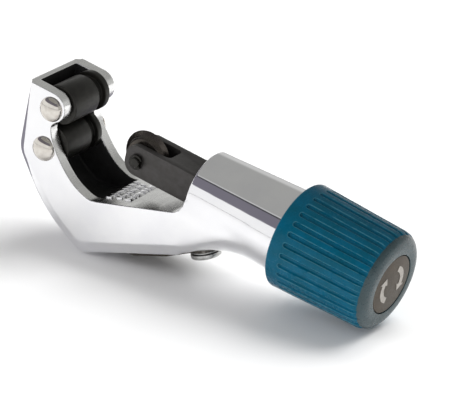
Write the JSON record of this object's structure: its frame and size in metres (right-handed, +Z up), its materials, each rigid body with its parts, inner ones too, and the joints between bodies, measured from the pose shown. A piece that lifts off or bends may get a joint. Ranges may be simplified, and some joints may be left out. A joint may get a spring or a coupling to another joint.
{
  "type": "tube cutter",
  "caption": "Screw-feed pipe and tube cutter: C-shaped frame with free rollers, a cutting wheel on a slide, a fluted feed knob and a fold-out reamer blade.",
  "frame": {"origin": "middle of the base of the whole tool's box, on the surface it stands on; the tool rests on the heel of its frame and on the rounded end of its knob", "axes": "+X runs along the tool from the rollers to the knob, +Y across it, +Z up and towards the open side of the jaw; the feed axis slopes down towards the knob by about 11.3 degrees"},
  "size_m": [0.144, 0.037, 0.0586],
  "materials": {
    "chromed_casting": "mirror chrome on the sides and barrel, satin-ground on the narrow faces",
    "nickel_rivet": "polished nickel",
    "black_oxide": "satin black oxide",
    "phosphated_steel": "matt grey phosphate",
    "tool_steel": "ground tool steel",
    "zinc_steel": "zinc plated",
    "brass": "turned",
    "teal_plastic": "gloss teal",
    "bronze_cap": "anodised bronze, satin"
  },
  "bodies": {
    "frame": {"frame": "chromed_casting", "upper_roller_pin": "nickel_rivet", "lower_roller_pin": "nickel_rivet", "feed_nut": "brass", "nut_locking_pin": "zinc_steel", "reamer_rivet": "zinc_steel", "reamer_spring_washer": "zinc_steel"},
    "upper_roller": {"upper_roller": "black_oxide"},
    "lower_roller": {"lower_roller": "black_oxide"},
    "carriage": {"slide": "phosphated_steel", "wheel_pin": "black_oxide", "wheel_pin_clip": "black_oxide", "thrust_ball": "zinc_steel", "screw_retaining_clip": "zinc_steel"},
    "cutting_wheel": {"cutting_wheel": "tool_steel"},
    "knob": {"knob": "teal_plastic", "feed_screw": "zinc_steel", "knob_cap": "bronze_cap", "knob_screw": "zinc_steel", "knob_lock_washer": "zinc_steel"},
    "reamer": {"reamer_blade": "tool_steel"}
  },
  "joints": [
    {"name": "carriage_feed", "type": "slide", "parent": "frame", "child": "carriage", "axis": [-0.9807, 0, 0.1957], "range_m": [-0.012, 0.018]},
    {"name": "knob_turn", "type": "hinge", "parent": "carriage", "child": "knob", "pos_m": [0.03282, 0, 0.02472], "axis": [-0.9807, 0, 0.1957], "range_deg": [-2161, 3241]},
    {"name": "cutting_wheel_spin", "type": "hinge", "parent": "carriage", "child": "cutting_wheel", "pos_m": [-0.02778, 0, 0.03681], "axis": [0, 1, 0], "continuous": true},
    {"name": "upper_roller_spin", "type": "hinge", "parent": "frame", "child": "upper_roller", "pos_m": [-0.05767, 0, 0.05054], "axis": [0, 1, 0], "continuous": true},
    {"name": "lower_roller_spin", "type": "hinge", "parent": "frame", "child": "lower_roller", "pos_m": [-0.06066, 0, 0.0356], "axis": [0, 1, 0], "continuous": true},
    {"name": "reamer_swing", "type": "hinge", "parent": "frame", "child": "reamer", "pos_m": [-0.0039, 0, 0.01135], "axis": [-0.2431, 0, 0.97], "range_deg": [0, 100]}
  ],
  "couplings": [
    {"joint": "knob_turn", "follows": "carriage_feed", "rad_per_m": 3141.6}
  ]
}
